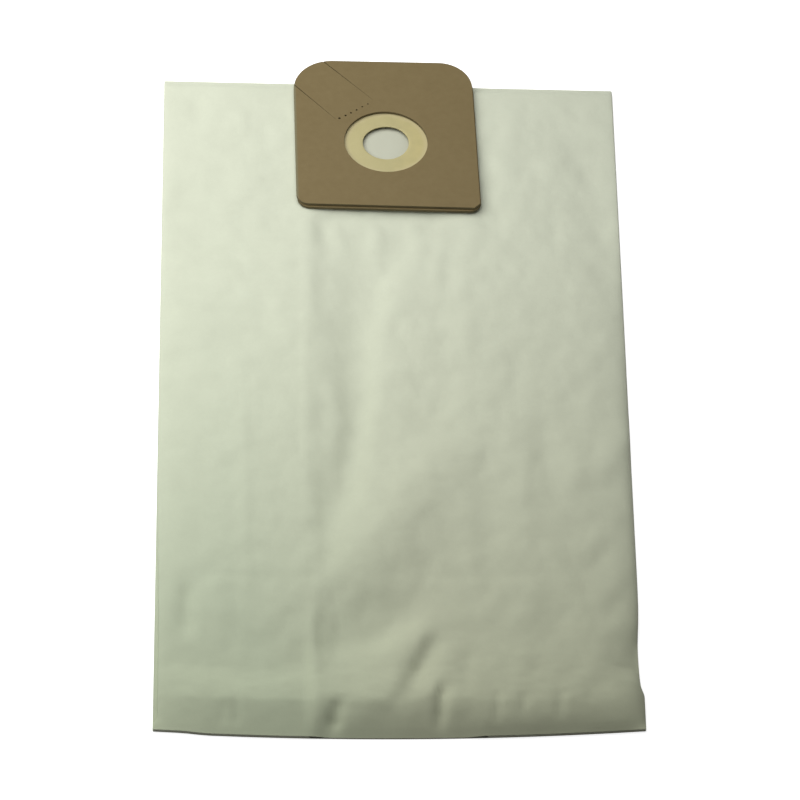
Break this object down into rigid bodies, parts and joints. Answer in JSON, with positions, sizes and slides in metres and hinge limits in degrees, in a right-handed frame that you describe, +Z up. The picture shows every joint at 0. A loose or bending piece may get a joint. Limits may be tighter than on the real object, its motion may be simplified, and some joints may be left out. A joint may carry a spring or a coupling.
{
  "type": "vacuum filter bag",
  "caption": "Flat side-gusset fleece dust bag with a kraft board collar, a rubber-lipped port and a die-cut closing tongue.",
  "frame": {"origin": "on the surface that the bag lies on, below the middle of its bounding box", "axes": "+Z up out of the front of the bag, +Y along its length towards the collar, +X across it to the right as seen from the front with the collar at the top"},
  "size_m": [0.3024, 0.5755, 0.0104],
  "materials": {
    "fleece": "pale grey-green non-woven fleece, soft and matte, faintly creased",
    "kraft_board": "brown kraft board, matte, die-cut edges",
    "cream_rubber": "cream rubber sheet, matte with a slight sheen"
  },
  "bodies": {
    "root": {"filter_bag": "fleece", "front_board": "kraft_board", "back_board": "kraft_board", "sealing_membrane": "cream_rubber"}
  },
  "joints": []
}
